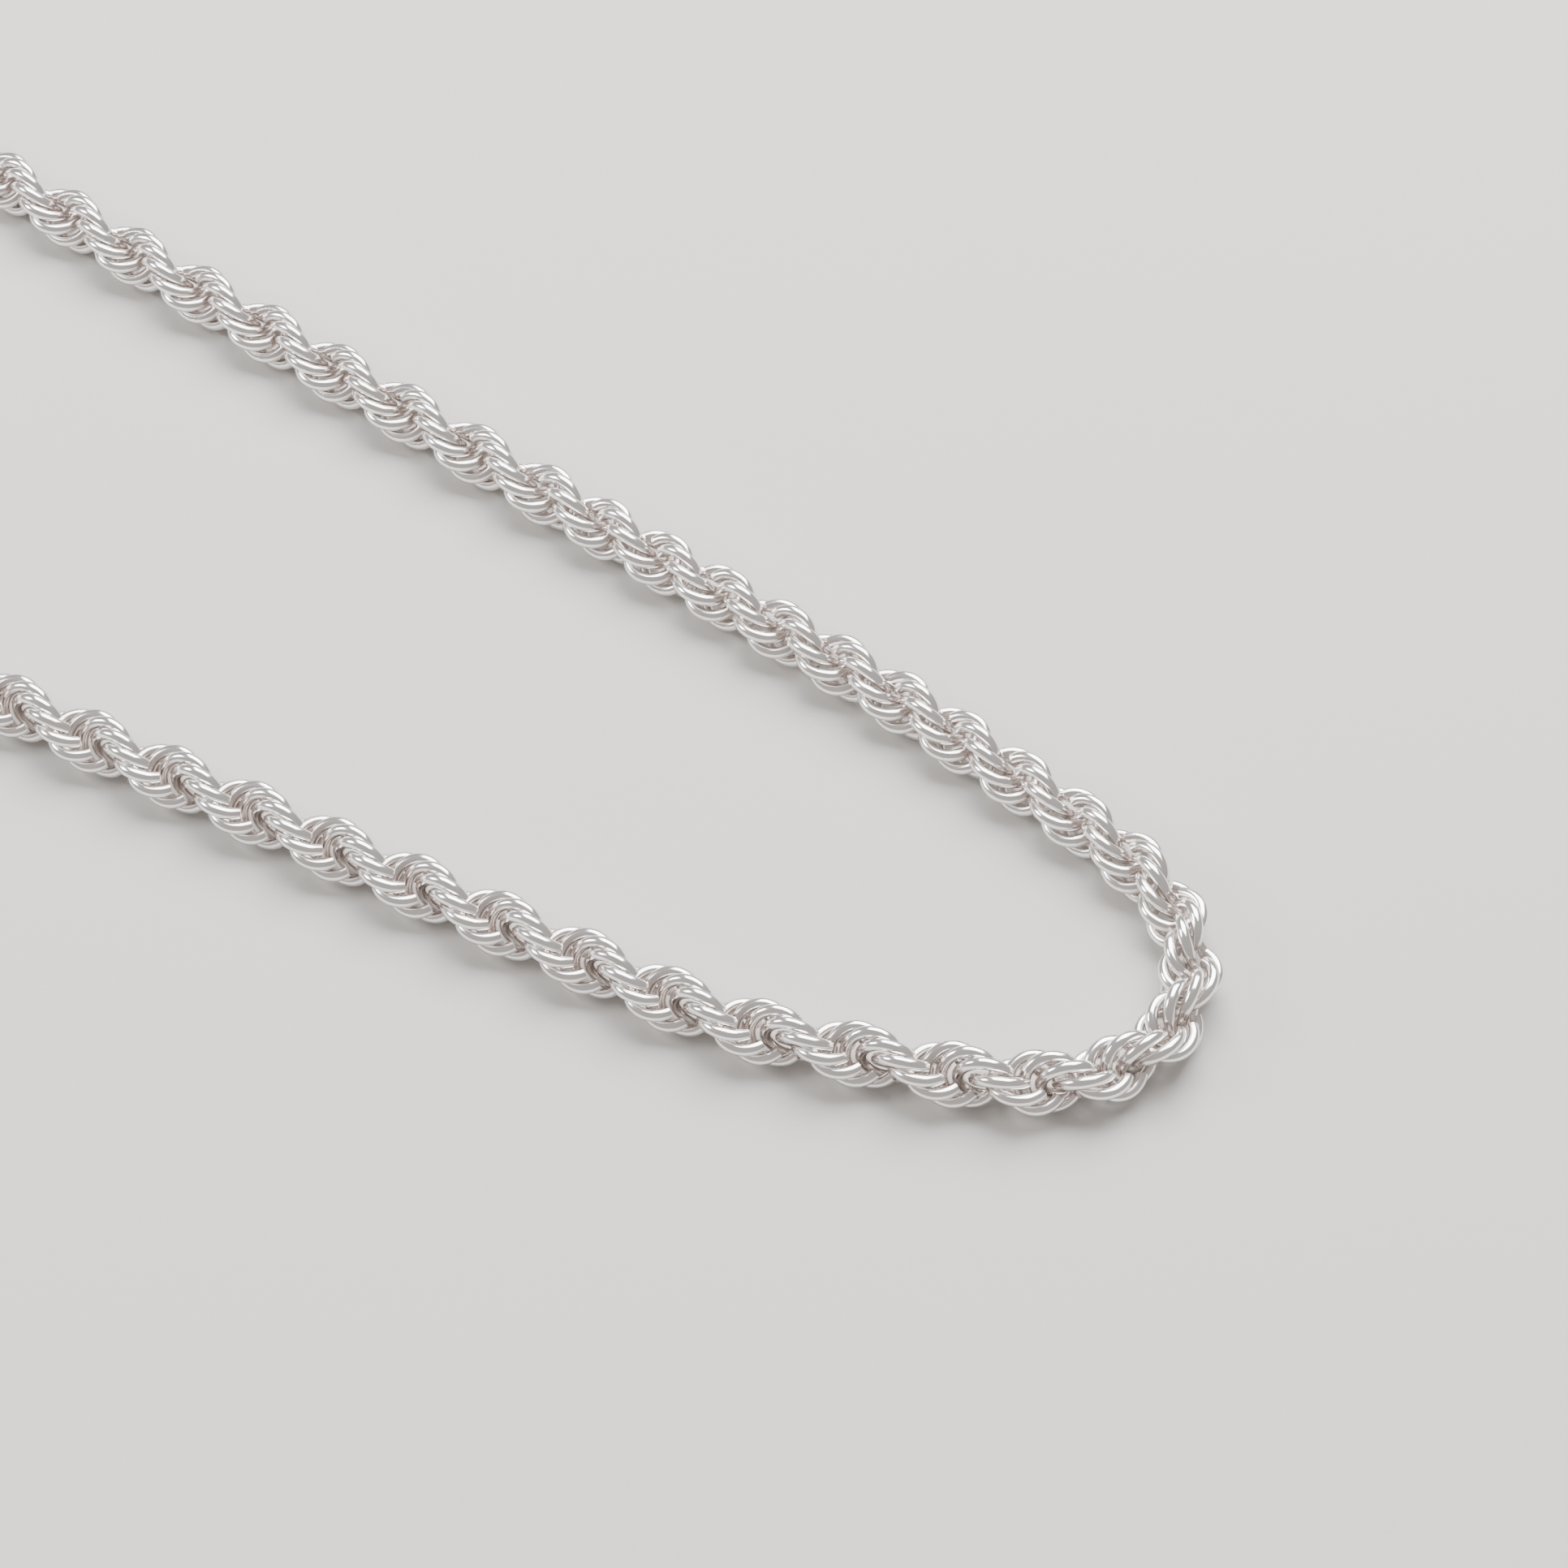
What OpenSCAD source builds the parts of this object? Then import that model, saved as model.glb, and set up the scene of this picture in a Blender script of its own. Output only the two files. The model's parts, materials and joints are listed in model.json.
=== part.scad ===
// Rope chain necklace in silver wire, laid out undone on a flat surface.
// The rope is made of short lengths of twelve links, one full twist on the straight.
// Lengths are in millimetres, +Z is up and the chain lies on z = 0.

/* [Rope chain] */
// Outside diameter of the rope
chain_d = 4; // [3.98:0.01:4.02]
// Diameter of the link wire
wire_d = 0.7; // [0.64:0.01:0.71]
// Length of rope in one full twist, away from the tight bend
twist_length = 11.6; // [11.5:0.05:11.7]
// Part of each link's circle that is cut away, in degrees
link_opening = 64; // [63:0.5:66]

/* [Lay of the chain] */
// Direction of the chain where it leaves the clasp
start_heading = 12.2; // [0:0.2:20]
// How far the tight bend turns
bend_turn = 154; // [145:1:156]
// Chain taken up by the tight bend
bend_length = 42; // [42:0.5:56]

/* [Ends] */
// Wire of the loop on each end cap
loop_wire_d = 0.7; // [0.6:0.05:0.7]
// Wire of the jump ring
jump_wire_d = 0.66; // [0.5:0.02:0.66]
// Outside diameter of the end ring
end_ring_d = 5.6; // [5.4:0.1:6]
// Wire of the end ring
end_ring_wire_d = 0.8; // [0.6:0.05:0.8]

/* [Clasp] */
// Thickness of the clasp's housing
clasp_t = 2.3; // [2.2:0.05:2.4]
// Radius of the hook, to the middle of its round bar
hook_r = 2.1; // [2.1:0.05:2.3]
// Thickness of the hook's round bar
hook_bar_d = 1.1; // [1:0.05:1.15]

/* [Hidden] */
$fn = 48;
twists = 37;
links_per_twist = 12;
names = [for (i = [1:twists]) str("chain_segment_", i < 10 ? "0" : "", i)];

pitch = twist_length / links_per_twist;
chain_length = twists * twist_length;
link_r = (chain_d - wire_d) / 2;
axis_z = chain_d / 2;
// The rope is wound tighter along this stretch, by three more half turns.
tight_twist = 540;
tight_from = 146;
tight_length = 72;
// Each link is half a turn plus its share of the twist round from the one before.
function turned(k) = (180 + 360 / links_per_twist) * k
    + tight_twist * max(0, min(1, ((k + 0.5) * pitch - tight_from) / tight_length));
// The first links at the clasp end are soldered shut.
soldered_links = 3;
// Links ride outwards where the chain bends, in millimetres per unit of curvature.
bend_shift = -0.6;

// The lay of the chain: [length, turn] of each stretch, from the clasp to the end ring.
// The long straight stretch takes up what is left of the length.
lead_in = [[50, -30], [35, 14], [80, 0], [19, -4.4]];
lead_out = [[35, 14], [50, -30]];
hairpin = [[bend_length, -bend_turn], [14.6, -13.2]];
used = lengths(concat(lead_in, hairpin, lead_out));
route = concat(lead_in, hairpin, [[chain_length - used, 0]], lead_out);
starts = [for (i = 0, s = 0; i < len(route); s = s + route[i][0], i = i + 1) s];

function total(v) = v * [for (x = v) 1];
function lengths(stretches) = total([for (r = stretches) r[0]]);
function share(s, i) = max(0, min(1, (s - starts[i]) / route[i][0]));
function eased(t) = t - sin(360 * t) / (2 * PI);
function heading(s) = start_heading
    + total([for (i = [0:len(route) - 1]) route[i][1] * eased(share(s, i))]);
function curvature(s) = PI / 180
    * total([for (i = [0:len(route) - 1])
             route[i][1] / route[i][0] * (1 - cos(360 * share(s, i)))]);

// Points along the middle of the rope, two to a link, laid out from the clasp end.
step = pitch / 2;
steps = round(chain_length / step);
trail = [for (i = 0, p = [0, 0]; i <= steps;
              p = p + step * [cos(heading((i + 0.5) * step)), sin(heading((i + 0.5) * step))],
              i = i + 1) p];
xs = [for (p = trail) p.x];
ys = [for (p = trail) p.y];
// The clasp and the end ring reach this far past the ends of the rope.
clasp_reach = 16.1;
ring_reach = 9.5;
end_heading = heading(chain_length);
far_left = min(-clasp_reach * cos(start_heading),
               trail[steps].x + ring_reach * cos(end_heading));
// The origin is the middle of the laid-out necklace, on the surface under it.
centre = [(max(xs) + chain_d / 2 + far_left) / 2, (max(ys) + min(ys)) / 2];

function place(i) = [trail[i].x - centre.x, trail[i].y - centre.y, axis_z];

// One link: a round wire ring in a plane through the rope's own axis, with its
// opening facing back along the rope.
module link(k) {
    s = (k + 0.5) * pitch;
    opening = k < soldered_links ? 0 : link_opening;
    translate(place(2 * k + 1))
        rotate([0, 0, heading(s)])
            rotate([turned(k), 0, 0])
                translate([0, bend_shift * curvature(s) * cos(turned(k)), 0])
                    rotate([0, 0, 180 + opening / 2])
                        rotate_extrude(angle = 360 - opening)
                            translate([link_r, 0])
                                circle(d = wire_d);
}

module chain_segment(i) {
    color("silver")
        for (k = [i * links_per_twist:(i + 1) * links_per_twist - 1])
            link(k);
}

// A ring of round wire in the XY plane.
module wire_ring(r, d) {
    rotate_extrude()
        translate([r, 0])
            circle(d = d);
}

// Puts its children at an end of the rope, with +X leading away from it.
module at_clasp_end() {
    translate(place(0))
        rotate([0, 0, start_heading + 180])
            children();
}

module at_ring_end() {
    translate(place(steps))
        rotate([0, 0, end_heading])
            children();
}

// The end cap is a cup over the rounded end of the last link, with a shoulder.
cup_mouth = 0.6;
cup_floor = 1.57;
cup_wall = 0.2;
shoulder = 2.3;
nose = 2.9;
nose_r = 1.2;

module cap_shell() {
    rotate([0, 90, 0])
        rotate_extrude()
            polygon([[0, cup_floor], [chain_d / 2 - cup_wall, cup_floor],
                     [chain_d / 2 - cup_wall, cup_mouth], [chain_d / 2, cup_mouth],
                     [chain_d / 2, shoulder], [nose_r, nose], [0, nose]]);
}

// The clasp's cap has a flat loop and the ring's cap has an upright one.
flat_loop_r = 1.1;
flat_loop_x = 3.85;
upright_loop_r = 1.25;
upright_loop_x = 4;
// Free play left between linked rings
play = 0.08;

module clasp_cap() {
    color("silver")
        at_clasp_end() {
            cap_shell();
            translate([flat_loop_x, 0, 0])
                wire_ring(flat_loop_r, loop_wire_d);
        }
}

module ring_cap() {
    color("silver")
        at_ring_end() {
            cap_shell();
            translate([upright_loop_x, 0, 0])
                rotate([90, 0, 0])
                    wire_ring(upright_loop_r, loop_wire_d);
        }
}

// The jump ring stands upright through the flat loop.
jump_r = 1.5;
jump_x = flat_loop_x + flat_loop_r - (loop_wire_d + jump_wire_d) / 2 - play + jump_r;

module jump_ring() {
    color("silver")
        at_clasp_end()
            translate([jump_x, 0, 0])
                rotate([90, 0, 0])
                    wire_ring(jump_r, jump_wire_d);
}

// The end ring goes through the upright loop and rests its far side on the surface.
end_ring_r = (end_ring_d - end_ring_wire_d) / 2;
end_ring_near = [upright_loop_x + upright_loop_r - (loop_wire_d + end_ring_wire_d) / 2 - play, -0.12];
end_ring_drop = axis_z + end_ring_near.y - end_ring_wire_d / 2 - 0.05;
end_ring_tilt = asin(end_ring_drop / (2 * end_ring_r));

module end_ring() {
    color("silver")
        at_ring_end()
            translate([end_ring_near.x, 0, end_ring_near.y])
                rotate([0, end_ring_tilt, 0])
                    translate([end_ring_r, 0, 0])
                        wire_ring(end_ring_r, end_ring_wire_d);
}

// The clasp lies flat and low, with its eye round the outer side of the jump ring.
clasp_drop = 0.65;
eye_r = 1.1;
eye_wire_d = 0.8;
jump_at_eye = jump_x + sqrt(pow(jump_r, 2) - pow(clasp_drop, 2));
eye_x = jump_at_eye - (jump_wire_d + eye_wire_d) / 2 - play + eye_r;
// Places inside the clasp are measured from the middle of its eye.
housing_x = 3;
housing_r = 1.9;
neck_x = 1.1;
neck_w = 2;
slot = [2.2, -0.8];
slot_h = 1.3;
hook_x = 6.2;
hook_from = -150;
hook_to = 44;
pivot = [3.6, 0.9];
pin_r = 0.3;
running_gap = 0.05;
boss_r = 0.75;
boss_h = 1.1;
arm_d = 0.9;
arm_from = 83;
arm_to = 150;
thumb = [2.6, 2.4];
thumb_r = 0.5;
tail = [3.95, -0.3];
tail_r = 0.3;

module at_clasp() {
    at_clasp_end()
        translate([eye_x, 0, -clasp_drop])
            children();
}

module hook() {
    translate([hook_x, 0, 0])
        rotate([0, 0, hook_from]) {
            rotate_extrude(angle = hook_to - hook_from)
                translate([hook_r, 0])
                    circle(d = hook_bar_d);
            rotate([0, 0, hook_to - hook_from])
                translate([hook_r, 0, 0])
                    sphere(d = hook_bar_d);
        }
}

module housing() {
    difference() {
        union() {
            translate([housing_x, 0, -clasp_t / 2])
                cylinder(r = housing_r, h = clasp_t);
            translate([neck_x, -neck_w / 2, -clasp_t / 2])
                cube([housing_x - neck_x, neck_w, clasp_t]);
        }
        translate([slot.x, slot.y, -slot_h / 2])
            cube([2 * housing_r, 2 * housing_r, slot_h]);
        translate([pivot.x, pivot.y, -clasp_t])
            cylinder(r = pin_r, h = 2 * clasp_t);
    }
}

module clasp_body() {
    color("silver")
        at_clasp() {
            wire_ring(eye_r, eye_wire_d);
            housing();
            hook();
        }
}

// A round bar from one place to another in the plane of the clasp.
module bar(a, b, r) {
    d = b - a;
    translate([a.x, a.y, 0])
        rotate([0, 90, atan2(d.y, d.x)])
            cylinder(r = r, h = norm(d));
}

module clasp_trigger() {
    color("silver")
        at_clasp()
            difference() {
                union() {
                    translate([pivot.x, pivot.y, -boss_h / 2])
                        cylinder(r = boss_r, h = boss_h);
                    translate([hook_x, 0, 0])
                        rotate([0, 0, arm_from]) {
                            rotate_extrude(angle = arm_to - arm_from)
                                translate([hook_r, 0])
                                    circle(d = arm_d);
                            translate([hook_r, 0, 0])
                                sphere(d = arm_d);
                        }
                    bar(pivot, thumb, arm_d / 2 - running_gap);
                    translate([thumb.x, thumb.y, 0])
                        sphere(r = thumb_r);
                    bar(pivot, tail, tail_r);
                }
                translate([pivot.x, pivot.y, -clasp_t])
                    cylinder(r = pin_r + running_gap, h = 2 * clasp_t);
            }
}

module trigger_pin() {
    color("gainsboro")
        at_clasp()
            translate([pivot.x, pivot.y, -clasp_t / 2])
                cylinder(r = pin_r, h = clasp_t);
}

// The coil spring lies in the slot and presses on the trigger's tail.
coils = 7;
coil_pitch = 0.16;
coil_r = 0.28;
coil_wire_d = 0.2;
coil_x = slot.x + 0.15;

module trigger_spring() {
    color("dimgray")
        at_clasp()
            translate([coil_x, -0.35, 0])
                rotate([0, 90, 0])
                    rotate_extrude()
                        for (i = [0:coils - 1])
                            translate([coil_r, i * coil_pitch])
                                circle(d = coil_wire_d);
}

for (i = [0:twists - 1])
    chain_segment(i);
clasp_cap();
jump_ring();
clasp_body();
clasp_trigger();
trigger_pin();
trigger_spring();
ring_cap();
end_ring();
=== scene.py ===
import json
import math

import bpy
from mathutils import Matrix, Vector


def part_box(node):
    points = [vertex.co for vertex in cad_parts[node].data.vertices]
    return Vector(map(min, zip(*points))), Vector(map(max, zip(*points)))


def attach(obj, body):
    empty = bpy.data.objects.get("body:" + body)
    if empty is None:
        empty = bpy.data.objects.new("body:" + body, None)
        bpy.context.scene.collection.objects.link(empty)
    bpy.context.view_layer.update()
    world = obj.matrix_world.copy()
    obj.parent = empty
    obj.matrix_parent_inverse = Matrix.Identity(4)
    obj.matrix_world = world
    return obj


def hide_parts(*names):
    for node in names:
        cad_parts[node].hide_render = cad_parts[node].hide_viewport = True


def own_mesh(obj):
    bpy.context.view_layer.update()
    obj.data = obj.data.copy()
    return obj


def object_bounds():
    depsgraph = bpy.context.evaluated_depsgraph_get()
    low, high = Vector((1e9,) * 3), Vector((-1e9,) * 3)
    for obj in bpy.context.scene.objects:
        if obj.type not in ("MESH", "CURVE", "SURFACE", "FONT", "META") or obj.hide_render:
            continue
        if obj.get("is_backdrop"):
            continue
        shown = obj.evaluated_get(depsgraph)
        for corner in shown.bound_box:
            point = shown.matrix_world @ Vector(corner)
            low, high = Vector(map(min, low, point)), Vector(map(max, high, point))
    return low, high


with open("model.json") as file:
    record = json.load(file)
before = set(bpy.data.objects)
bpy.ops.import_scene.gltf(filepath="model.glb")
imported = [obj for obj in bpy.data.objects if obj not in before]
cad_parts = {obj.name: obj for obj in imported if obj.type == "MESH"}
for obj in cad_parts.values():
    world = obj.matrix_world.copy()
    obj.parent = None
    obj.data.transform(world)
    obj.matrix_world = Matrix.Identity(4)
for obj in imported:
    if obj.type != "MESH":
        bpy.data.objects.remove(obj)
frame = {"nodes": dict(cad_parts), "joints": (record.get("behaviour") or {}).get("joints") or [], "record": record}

MM = 0.001
low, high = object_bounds()


# ---- Camera -------------------------------------------------------------
# A close view of the hairpin bend, taken from the side of the near strand and
# looking down on it, with both strands running out at the left.
bend_tip = Vector((high.x - 2.04 * MM, 3.25 * MM, 0))
camera_offset = Vector((69.01 * MM, -145.96 * MM, 239.4 * MM))
look_down = math.radians(53.2)
look_across = math.radians(33.4)
camera_roll = math.radians(-0.56)

camera_data = bpy.data.cameras.new("camera")
camera_data.sensor_width = 36
camera_data.lens = 111.8
camera_data.clip_start = 10 * MM
camera_data.clip_end = 5
camera = bpy.data.objects.new("camera", camera_data)
bpy.context.scene.collection.objects.link(camera)
sight = Vector((-math.sin(look_across) * math.cos(look_down),
                math.cos(look_across) * math.cos(look_down),
                -math.sin(look_down)))
camera.rotation_mode = "QUATERNION"
camera.rotation_quaternion = (sight.to_track_quat("-Z", "Y")
                              @ Matrix.Rotation(camera_roll, 4, "Z").to_quaternion())
camera.location = bend_tip + camera_offset
bpy.context.scene.camera = camera


# ---- Floor and light ----------------------------------------------------
# A plain pale matt floor. One very broad soft light hangs high behind the chain,
# a smaller one fills from the left, and the room around is a light warm grey.
class Value:
    """A socket that carries a number, so that sums of numbers are written as Python."""

    def __init__(self, tree, socket):
        self.tree = tree
        self.socket = socket

    def _maths(self, operation, a, b):
        node = self.tree.nodes.new("ShaderNodeMath")
        node.operation = operation
        for socket, value in zip(node.inputs, (a, b)):
            if isinstance(value, Value):
                self.tree.links.new(value.socket, socket)
            else:
                socket.default_value = value
        return Value(self.tree, node.outputs[0])

    def __add__(self, other):
        return self._maths("ADD", self, other)

    def __radd__(self, other):
        return self._maths("ADD", other, self)

    def __sub__(self, other):
        return self._maths("SUBTRACT", self, other)

    def __rsub__(self, other):
        return self._maths("SUBTRACT", other, self)

    def __mul__(self, other):
        return self._maths("MULTIPLY", self, other)

    def __rmul__(self, other):
        return self._maths("MULTIPLY", other, self)


class Finish:
    """A material whose nodes are added one at a time."""

    def __init__(self, name, **constants):
        self.material = bpy.data.materials.new(name)
        self.material.use_nodes = True
        self.tree = self.material.node_tree
        self.shader = self.tree.nodes["Principled BSDF"]
        for socket, value in constants.items():
            self.shader.inputs[socket.replace("_", " ")].default_value = value

    def node(self, kind, settings=None, **sockets):
        """Adds a node, makes its settings, then fills or links its sockets."""
        made = self.tree.nodes.new(kind)
        for name, value in (settings or {}).items():
            setattr(made, name, value)
        for name, value in sockets.items():
            self.put(made.inputs[name.replace("_", " ")], value)
        return made

    def read(self, name, output="Fac"):
        """The output of a node that reads an attribute of the mesh."""
        return self.node("ShaderNodeAttribute", {"attribute_name": name}).outputs[output]

    def put(self, socket, value):
        """Links a value or a node's output to a socket, or sets a constant there."""
        if isinstance(value, Value):
            self.tree.links.new(value.socket, socket)
        elif isinstance(value, bpy.types.NodeSocket):
            self.tree.links.new(value, socket)
        else:
            socket.default_value = value

    def number(self, socket):
        return Value(self.tree, socket)

    def mix(self, share, first, second):
        """A colour between two colours."""
        made = self.tree.nodes.new("ShaderNodeMix")
        made.data_type = "RGBA"
        self.put(made.inputs["Factor"], share)
        self.put(made.inputs[6], first)
        self.put(made.inputs[7], second)
        return made.outputs[2]


floor_colour = (0.64, 0.625, 0.605, 1)
floor_size = 3.0
floor_mesh = bpy.data.meshes.new("floor")
half = floor_size / 2
floor_mesh.from_pydata([(-half, -half, 0), (half, -half, 0), (half, half, 0), (-half, half, 0)],
                       [], [(0, 1, 2, 3)])
floor = bpy.data.objects.new("floor", floor_mesh)
bpy.context.scene.collection.objects.link(floor)
floor_finish = Finish("pale floor", Base_Color=floor_colour, Roughness=0.9)
floor_mesh.materials.append(floor_finish.material)
floor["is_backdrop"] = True

room = bpy.data.worlds.new("room")
room.use_nodes = True
room.node_tree.nodes["Background"].inputs["Color"].default_value = (0.50, 0.475, 0.46, 1)
bpy.context.scene.world = room


def soft_light(name, place, aim, size, watts):
    """A square area light at a place, turned to face a point."""
    lamp = bpy.data.lights.new(name, "AREA")
    lamp.size = size
    lamp.energy = watts
    light = bpy.data.objects.new(name, lamp)
    light.location = place
    light.rotation_euler = (aim - place).to_track_quat("-Z", "Y").to_euler()
    bpy.context.scene.collection.objects.link(light)


lit_point = bend_tip + Vector((-40 * MM, 0, 0))
soft_light("key", lit_point + Vector((-0.08, 0.28, 0.45)), lit_point, 0.50, 8.5)
soft_light("fill", lit_point + Vector((-0.42, -0.20, 0.32)), lit_point, 0.20, 1.8)


# ---- Rope links ---------------------------------------------------------
# Round silver wire links, each cut open and hooked through the next ones, a
# twelfth of a turn further round each time, so that they lie as two twisted
# strands. Each short length of one full twist is one piece and flexes on its own.
chain_d = 4 * MM
wire_d = 0.76 * MM
opening = math.radians(64)
twist_length = 11.6 * MM
links_per_twist = 12
twists = 37
soldered_links = 3
link_turn = math.pi + 2 * math.pi / links_per_twist
link_pitch = twist_length / links_per_twist
# Round the bend the rope is wound tighter, by three more half turns.
tight_twist = 3 * math.pi
tight_from = 146 * MM
tight_length = 72 * MM
# Links ride outwards where the rope bends, by this for each unit of curvature.
ride_out = -0.6 * MM * MM
# Each link lies within this angle of its true place, and is drawn this finely.
unevenness = math.radians(0.5)
steps_round_link = 34
sides_of_wire = 10
# How the rope is laid out, from the clasp: each stretch's length in mm and its turn.
start_heading = math.radians(12.2)
stretches = [(50, -30), (35, 14), (80, 0), (19, -4.4), (42, -154), (14.6, -13.2),
             (103.6, 0), (35, 14), (50, -30)]


def lay(along):
    """Heading and curvature of the rope at a distance from its clasp end."""
    heading, curvature, start = start_heading, 0, 0
    for length_mm, degrees in stretches:
        length, turn = length_mm * MM, math.radians(degrees)
        t = max(0, min(1, (along - start) / length))
        heading += turn * (t - math.sin(2 * math.pi * t) / (2 * math.pi))
        curvature += turn / length * (1 - math.cos(2 * math.pi * t))
        start += length
    return heading, curvature


half_step = link_pitch / 2
trail = [Vector((0, 0, 0))]
for i in range(2 * twists * links_per_twist):
    heading, _ = lay((i + 0.5) * half_step)
    trail.append(trail[-1] + half_step * Vector((math.cos(heading), math.sin(heading), 0)))
middle_hinge = next(j for j in frame["joints"] if j["name"] == "lift_18")
rope_shift = Vector(middle_hinge["pos_m"]) - trail[2 * links_per_twist * 18]
trail = [p + rope_shift for p in trail]


def add(tree, kind, settings=None, **sockets):
    """Adds a geometry node, with settings first and then its sockets."""
    made = tree.nodes.new(kind)
    for name, value in (settings or {}).items():
        setattr(made, name, value)
    for name, value in sockets.items():
        socket = made.inputs[name.replace("_", " ")]
        if isinstance(value, bpy.types.NodeSocket):
            tree.links.new(value, socket)
        else:
            socket.default_value = value
    return made


def link_tree(finish):
    """Puts a cut wire link on each point, turned and moved as the point's attributes say."""
    tree = bpy.data.node_groups.new("rope links", "GeometryNodeTree")
    sides = tree.interface
    sides.new_socket("Points", in_out="INPUT", socket_type="NodeSocketGeometry")
    for name in ("Link Radius", "Wire Radius", "Opening", "Unevenness"):
        sides.new_socket(name, in_out="INPUT", socket_type="NodeSocketFloat")
    sides.new_socket("Seed", in_out="INPUT", socket_type="NodeSocketInt")
    sides.new_socket("Links", in_out="OUTPUT", socket_type="NodeSocketGeometry")
    given = tree.nodes.new("NodeGroupInput").outputs

    def maths(operation, *values):
        made = tree.nodes.new("ShaderNodeMath")
        made.operation = operation
        for socket, value in zip(made.inputs, values):
            if isinstance(value, bpy.types.NodeSocket):
                tree.links.new(value, socket)
            else:
                socket.default_value = value
        return made.outputs[0]

    def read(name):
        return add(tree, "GeometryNodeInputNamedAttribute", {"data_type": "FLOAT"},
                   Name=name).outputs["Attribute"]

    start = maths("ADD", maths("MULTIPLY", given["Opening"], 0.5), math.pi)
    sweep = maths("SUBTRACT", 2 * math.pi, given["Opening"])
    arc = add(tree, "GeometryNodeCurveArc", {"mode": "RADIUS"}, Resolution=steps_round_link,
              Radius=given["Link Radius"], Start_Angle=start, Sweep_Angle=sweep)
    at_points = {"data_type": "FLOAT", "domain": "POINT"}
    along = add(tree, "GeometryNodeStoreNamedAttribute", at_points,
                Geometry=arc.outputs[0], Name="along",
                Value=tree.nodes.new("GeometryNodeSplineParameter").outputs["Factor"])
    ring = add(tree, "GeometryNodeCurvePrimitiveCircle", {"mode": "RADIUS"},
               Resolution=sides_of_wire, Radius=given["Wire Radius"])
    place = tree.nodes.new("GeometryNodeInputPosition").outputs[0]
    section = add(tree, "GeometryNodeStoreNamedAttribute",
                  {"data_type": "FLOAT_VECTOR", "domain": "POINT"},
                  Geometry=ring.outputs[0], Name="section", Value=place)
    wire = add(tree, "GeometryNodeCurveToMesh", Curve=along.outputs[0],
               Profile_Curve=section.outputs[0], Fill_Caps=True)
    apart = add(tree, "ShaderNodeSeparateXYZ", Vector=place)
    y, z = apart.outputs["Y"], apart.outputs["Z"]
    from_axis = maths("SQRT", maths("ADD", maths("MULTIPLY", y, y), maths("MULTIPLY", z, z)))
    reach = maths("DIVIDE", from_axis, maths("ADD", given["Link Radius"], given["Wire Radius"]))
    # The distance from the rope's axis, which the silver reads to paint shade deep between the wires.
    reach_stored = add(tree, "GeometryNodeStoreNamedAttribute", at_points,
               Geometry=wire.outputs[0], Name="reach", Value=reach)
    smooth = add(tree, "GeometryNodeSetShadeSmooth", Geometry=reach_stored.outputs[0])

    sway = add(tree, "ShaderNodeCombineXYZ", X=read("turn"), Z=read("heading"))
    low_turn = maths("MULTIPLY", given["Unevenness"], -1)
    low_end = add(tree, "ShaderNodeCombineXYZ", X=low_turn, Y=low_turn, Z=low_turn)
    high_end = add(tree, "ShaderNodeCombineXYZ", X=given["Unevenness"], Y=given["Unevenness"],
                   Z=given["Unevenness"])
    uneven = add(tree, "FunctionNodeRandomValue", {"data_type": "FLOAT_VECTOR"},
                 Seed=given["Seed"])
    tree.links.new(low_end.outputs[0], uneven.inputs["Min"])
    tree.links.new(high_end.outputs[0], uneven.inputs["Max"])
    placed = add(tree, "GeometryNodeInstanceOnPoints", Points=given["Points"],
                 Instance=smooth.outputs[0], Rotation=sway.outputs[0])
    outward = add(tree, "ShaderNodeCombineXYZ", Y=read("outward"))
    moved = add(tree, "GeometryNodeTranslateInstances", Instances=placed.outputs[0],
                Translation=outward.outputs[0], Local_Space=True)
    shaken = add(tree, "GeometryNodeRotateInstances", Instances=moved.outputs[0],
                 Rotation=uneven.outputs["Value"], Local_Space=True)
    tone = add(tree, "FunctionNodeRandomValue", {"data_type": "FLOAT"})
    tree.links.new(given["Seed"], tone.inputs["Seed"])
    toned = add(tree, "GeometryNodeStoreNamedAttribute",
                {"data_type": "FLOAT", "domain": "INSTANCE"},
                Geometry=shaken.outputs[0], Name="tone")
    tree.links.new(tone.outputs[1], toned.inputs["Value"])
    whole = add(tree, "GeometryNodeRealizeInstances", Geometry=toned.outputs[0])
    dressed = add(tree, "GeometryNodeSetMaterial", Geometry=whole.outputs[0], Material=finish)
    result = tree.nodes.new("NodeGroupOutput")
    tree.links.new(dressed.outputs[0], result.inputs["Links"])
    return tree


# Polished silver. The outside of the rope is bright from wear and polishing, and deep between the wires
# the metal is duller and darker: partly real, less polished metal, partly painted shade. The darker colour's pink
# warmth is a painted reflection.
silver_bright = (0.985, 0.965, 0.950, 1)
# The darker silver colour, used for painted shade deep between the wires and for duller metal; its pink warmth is
# a painted reflection.
silver_dull_and_shaded = (0.70, 0.62, 0.585, 1)
marks_per_metre = 9000.0
polish = Finish("polished silver wire", Metallic=1.0)
reach = polish.number(polish.read("reach"))
tone = polish.number(polish.read("tone"))
along = polish.number(polish.read("along"))
section = polish.read("section", "Vector")
spot = polish.node("ShaderNodeTexCoord").outputs["Object"]
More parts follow.
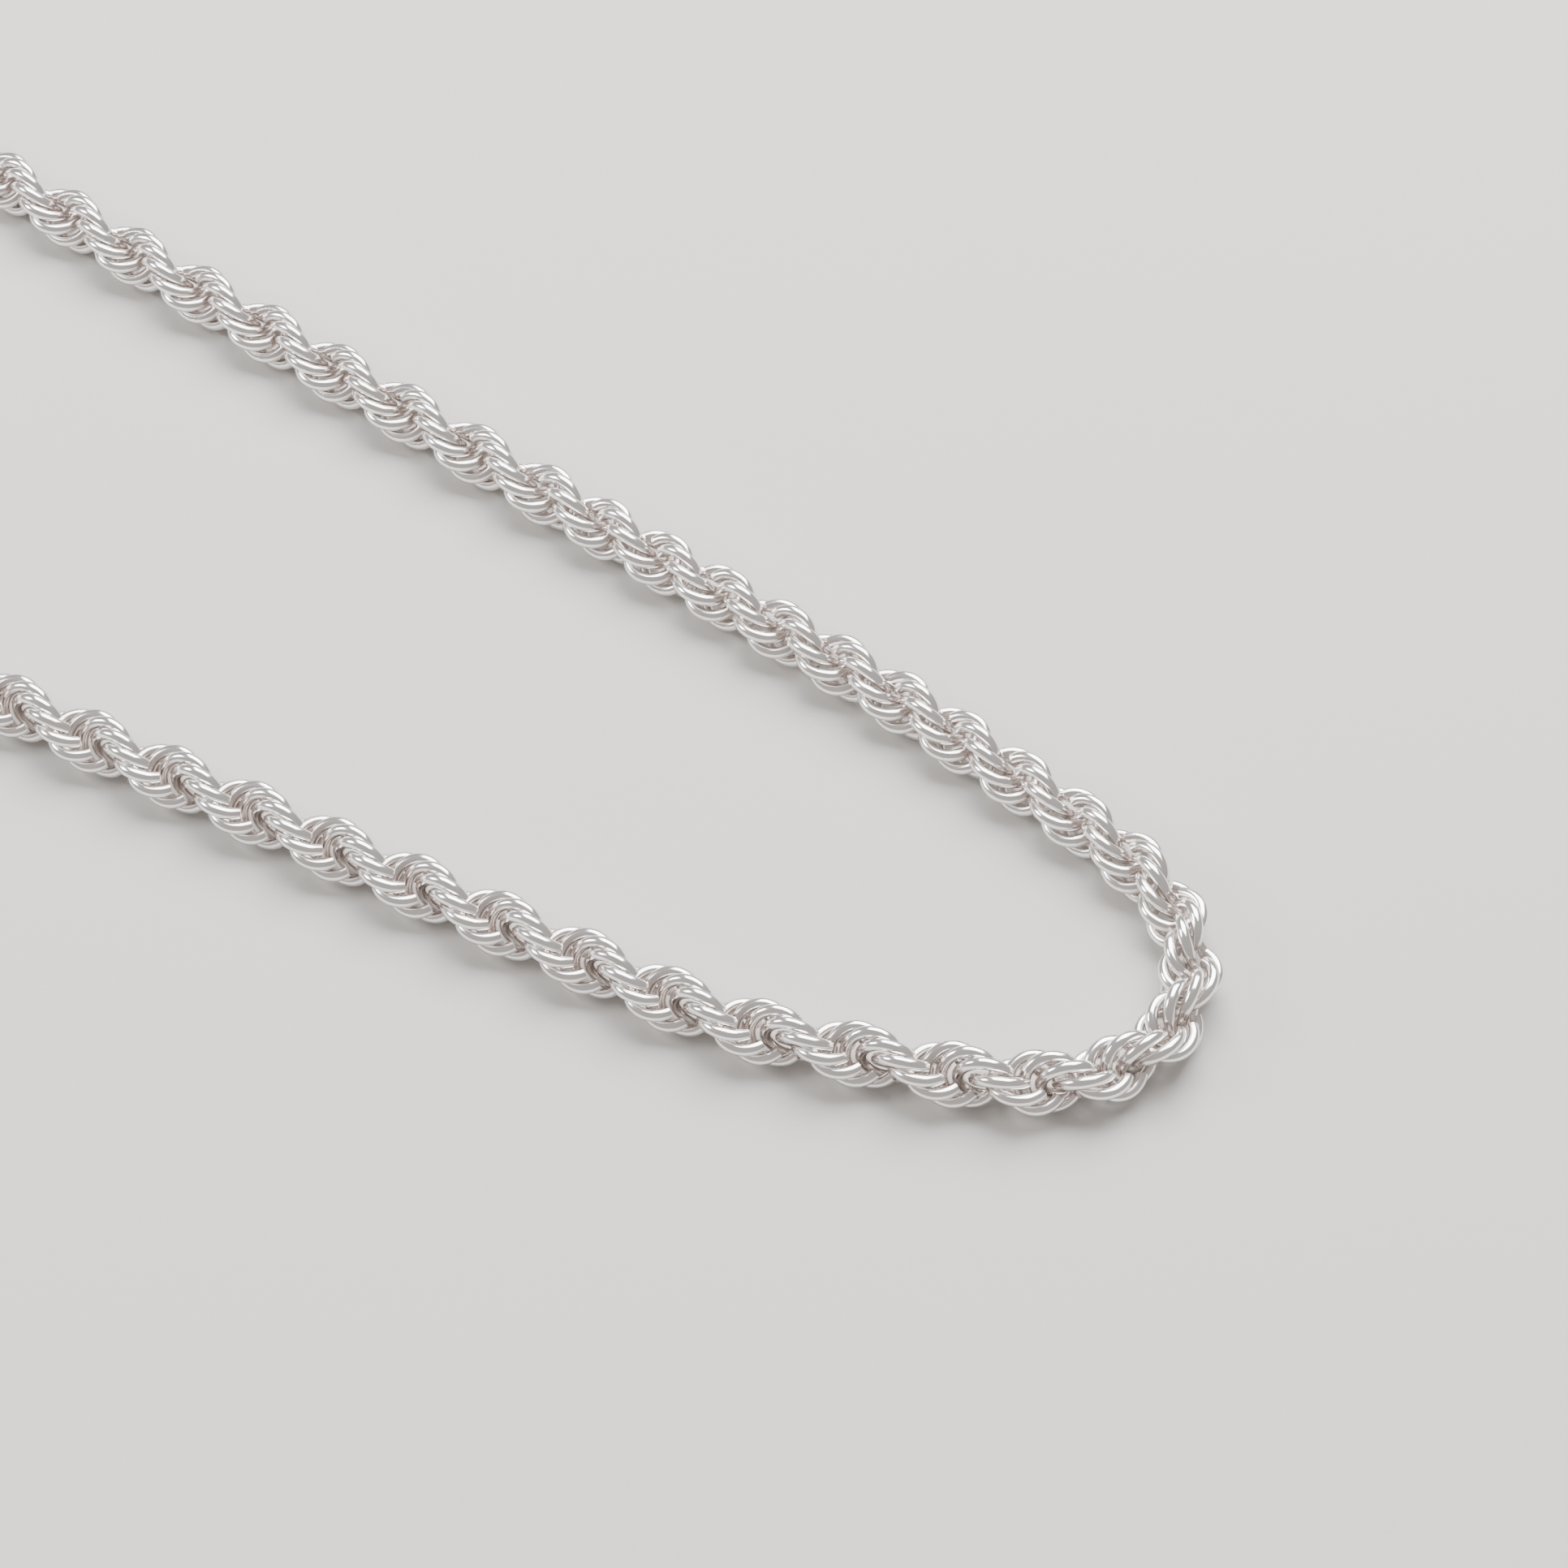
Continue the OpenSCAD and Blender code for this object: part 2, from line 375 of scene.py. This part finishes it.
# Mask, high on the outside of the rope: it brightens the colour there and paints shade deep between the wires, and
# also sets the real polish in the roughness.
outside_polished_and_lit = polish.number(polish.node("ShaderNodeMapRange", {"interpolation_type": "SMOOTHSTEP"},
                                  Value=reach, From_Min=0.25, From_Max=0.85).outputs["Result"])
cloud = polish.number(polish.node("ShaderNodeTexNoise", Vector=spot, Scale=900.0, Detail=4.0,
                                  Roughness=0.6).outputs["Fac"])
drawn_at = polish.node("ShaderNodeCombineXYZ", Z=along * 3.0)
wide = polish.node("ShaderNodeVectorMath", {"operation": "MULTIPLY_ADD"}, Vector=section)
wide.inputs[1].default_value = (marks_per_metre, marks_per_metre, marks_per_metre)
polish.put(wide.inputs[2], drawn_at.outputs[0])
drawn = polish.number(polish.node("ShaderNodeTexNoise", Vector=wide.outputs[0], Scale=2.2,
                                  Detail=3.0, Roughness=0.55).outputs["Fac"])
# Painted shade deep between the wires, partly duller metal, with real random tone from the noise and from each
# link's tone.
dull_and_painted_shade = (1 - outside_polished_and_lit) * 0.85 + (cloud - 0.5) * 0.35 + (tone - 0.5) * 0.10
polish.put(polish.shader.inputs["Base Color"], polish.mix(dull_and_painted_shade, silver_bright, silver_dull_and_shaded))
polish.put(polish.shader.inputs["Roughness"],
           0.14 + (1 - outside_polished_and_lit) * 0.10 + (cloud - 0.4) * 0.10 + (drawn - 0.5) * 0.06)
scratches = polish.node("ShaderNodeBump", Strength=0.12, Distance=0.00002, Height=drawn)
dents = polish.node("ShaderNodeBump", Strength=0.10, Distance=0.00004, Height=cloud,
                    Normal=scratches.outputs[0])
polish.put(polish.shader.inputs["Normal"], dents.outputs[0])

tree = link_tree(polish.material)
inputs = {item.name: item.identifier for item in tree.interface.items_tree
          if item.item_type == "SOCKET" and item.in_out == "INPUT"}


def links_mesh(name, first, last, opening, seed):
    """The links from one number up to another as one plain mesh."""
    points = bpy.data.meshes.new(name)
    points.from_pydata([trail[2 * k + 1] for k in range(first, last)], [], [])
    for label in ("heading", "turn", "outward"):
        points.attributes.new(label, "FLOAT", "POINT")
    for i, k in enumerate(range(first, last)):
        heading, curvature = lay((k + 0.5) * link_pitch)
        tight = max(0, min(1, ((k + 0.5) * link_pitch - tight_from) / tight_length))
        turn = (link_turn * k + tight_twist * tight) % (2 * math.pi)
        points.attributes["heading"].data[i].value = heading
        points.attributes["turn"].data[i].value = turn
        points.attributes["outward"].data[i].value = ride_out * curvature * math.cos(turn)
    carrier = bpy.data.objects.new(name, points)
    bpy.context.scene.collection.objects.link(carrier)
    links = carrier.modifiers.new("links", "NODES")
    links.node_group = tree
    links[inputs["Link Radius"]] = (chain_d - wire_d) / 2
    links[inputs["Wire Radius"]] = wire_d / 2
    links[inputs["Opening"]] = opening
    links[inputs["Unevenness"]] = unevenness
    links[inputs["Seed"]] = seed
    bpy.context.view_layer.update()
    shape = carrier.evaluated_get(bpy.context.evaluated_depsgraph_get())
    made = bpy.data.meshes.new_from_object(shape)
    bpy.data.objects.remove(carrier)
    return made


bodies = frame["record"]["behaviour"]["bodies"]
for i in range(twists):
    name = f"chain_segment_{i + 1:02d}"
    body = next(b for b, nodes in bodies.items() if name in nodes)
    first = i * links_per_twist
    closed = soldered_links if i == 0 else 0
    mesh = links_mesh(name + "_links", first + closed, first + links_per_twist, opening, i)
    piece = bpy.data.objects.new(name + "_links", mesh)
    bpy.context.scene.collection.objects.link(piece)
    if closed:
        end_mesh = links_mesh("soldered_links", first, first + closed, 0.0, i + twists)
        ends = bpy.data.objects.new("soldered_links", end_mesh)
        bpy.context.scene.collection.objects.link(ends)
        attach(ends, body)
    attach(piece, body)
    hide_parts(name)


# ---- Cast findings ------------------------------------------------------
# The end caps, jump ring, clasp, trigger and end ring are cast and drawn
# silver, tumbled bright, with soft fine wear from handling.
cast = Finish("cast silver", Metallic=1.0)
spot = cast.node("ShaderNodeTexCoord").outputs["Object"]
grain = cast.number(cast.node("ShaderNodeTexNoise", Vector=spot, Scale=700.0, Detail=5.0,
                              Roughness=0.62).outputs["Fac"])
fine = cast.number(cast.node("ShaderNodeTexNoise", Vector=spot, Scale=5200.0,
                             Detail=2.0).outputs["Fac"])
cast.put(cast.shader.inputs["Base Color"],
         cast.mix((grain - 0.35) * 0.8, silver_bright, silver_dull_and_shaded))
cast.put(cast.shader.inputs["Roughness"], 0.16 + (grain - 0.4) * 0.16 + (fine - 0.5) * 0.05)
tumbled = cast.node("ShaderNodeBump", Strength=0.10, Distance=0.00004, Height=grain + fine * 0.3)
cast.put(cast.shader.inputs["Normal"], tumbled.outputs[0])
for name in ("clasp_cap", "jump_ring", "clasp_body", "clasp_trigger", "trigger_pin",
             "ring_cap", "end_ring"):
    node = frame["nodes"][name]
    for place in node.material_slots:
        place.material = cast.material


# ---- Trigger spring -----------------------------------------------------
# A tiny coil of drawn steel wire that lies in the clasp's housing, left as drawn.
# Its inner end stays put and the trigger's tail squeezes it from the other end.
spring_wire_d = 0.12 * MM
spring_d = 0.76 * MM
spring_length = 1.16 * MM
spring_coils = 6.0
steps_in_turn = 20


def coil_tree(finish):
    """A coil of round wire round the Z axis, from Z = 0 upwards."""
    tree = bpy.data.node_groups.new("coil spring", "GeometryNodeTree")
    sides = tree.interface
    for name in ("Coils", "Coil Radius", "Wire Radius", "Height"):
        sides.new_socket(name, in_out="INPUT", socket_type="NodeSocketFloat")
    sides.new_socket("Spring", in_out="OUTPUT", socket_type="NodeSocketGeometry")
    given = tree.nodes.new("NodeGroupInput").outputs
    coil = add(tree, "GeometryNodeCurveSpiral", Resolution=steps_in_turn,
               Rotations=given["Coils"], Start_Radius=given["Coil Radius"],
               End_Radius=given["Coil Radius"], Height=given["Height"])
    ring = add(tree, "GeometryNodeCurvePrimitiveCircle", {"mode": "RADIUS"},
               Resolution=sides_of_wire, Radius=given["Wire Radius"])
    wire = add(tree, "GeometryNodeCurveToMesh", Curve=coil.outputs[0],
               Profile_Curve=ring.outputs[0], Fill_Caps=True)
    smooth = add(tree, "GeometryNodeSetShadeSmooth", Geometry=wire.outputs[0])
    whole = add(tree, "GeometryNodeRealizeInstances", Geometry=smooth.outputs[0])
    dressed = add(tree, "GeometryNodeSetMaterial", Geometry=whole.outputs[0], Material=finish)
    result = tree.nodes.new("NodeGroupOutput")
    tree.links.new(dressed.outputs[0], result.inputs["Spring"])
    return tree


steel = Finish("drawn spring steel", Metallic=1.0)
spot = steel.node("ShaderNodeTexCoord").outputs["Object"]
lines = steel.number(steel.node("ShaderNodeTexNoise", Vector=spot, Scale=4000.0,
                                Detail=3.0).outputs["Fac"])
steel.put(steel.shader.inputs["Base Color"],
          steel.mix(lines, (0.30, 0.30, 0.31, 1), (0.52, 0.52, 0.54, 1)))
steel.put(steel.shader.inputs["Roughness"], 0.28 + lines * 0.15)

coil = coil_tree(steel.material)
inputs = {item.name: item.identifier for item in coil.interface.items_tree
          if item.item_type == "SOCKET" and item.in_out == "INPUT"}
carrier = bpy.data.objects.new("coil_carrier", bpy.data.meshes.new("coil_carrier"))
bpy.context.scene.collection.objects.link(carrier)
winding = carrier.modifiers.new("winding", "NODES")
winding.node_group = coil
winding[inputs["Coils"]] = spring_coils
winding[inputs["Coil Radius"]] = (spring_d - spring_wire_d) / 2
winding[inputs["Wire Radius"]] = spring_wire_d / 2
winding[inputs["Height"]] = spring_length - spring_wire_d
bpy.context.view_layer.update()
spring_mesh = bpy.data.meshes.new_from_object(
    carrier.evaluated_get(bpy.context.evaluated_depsgraph_get()))
bpy.data.objects.remove(carrier)
# It lies along the clasp, with its fixed end towards the rope.
box_low, box_high = (Vector(corner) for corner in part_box("trigger_spring"))
outwards = -Vector((math.cos(start_heading), math.sin(start_heading), 0))
fixed_end = (box_low + box_high) / 2 - outwards * spring_length / 2
spring_mesh.transform(Matrix.Translation(fixed_end + outwards * spring_wire_d / 2)
                      @ outwards.to_track_quat("Z", "Y").to_matrix().to_4x4())
spring = bpy.data.objects.new("coil_spring", spring_mesh)
bpy.context.scene.collection.objects.link(spring)
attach(spring, "clasp_body")
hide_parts("trigger_spring")
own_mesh(spring)


low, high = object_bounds()
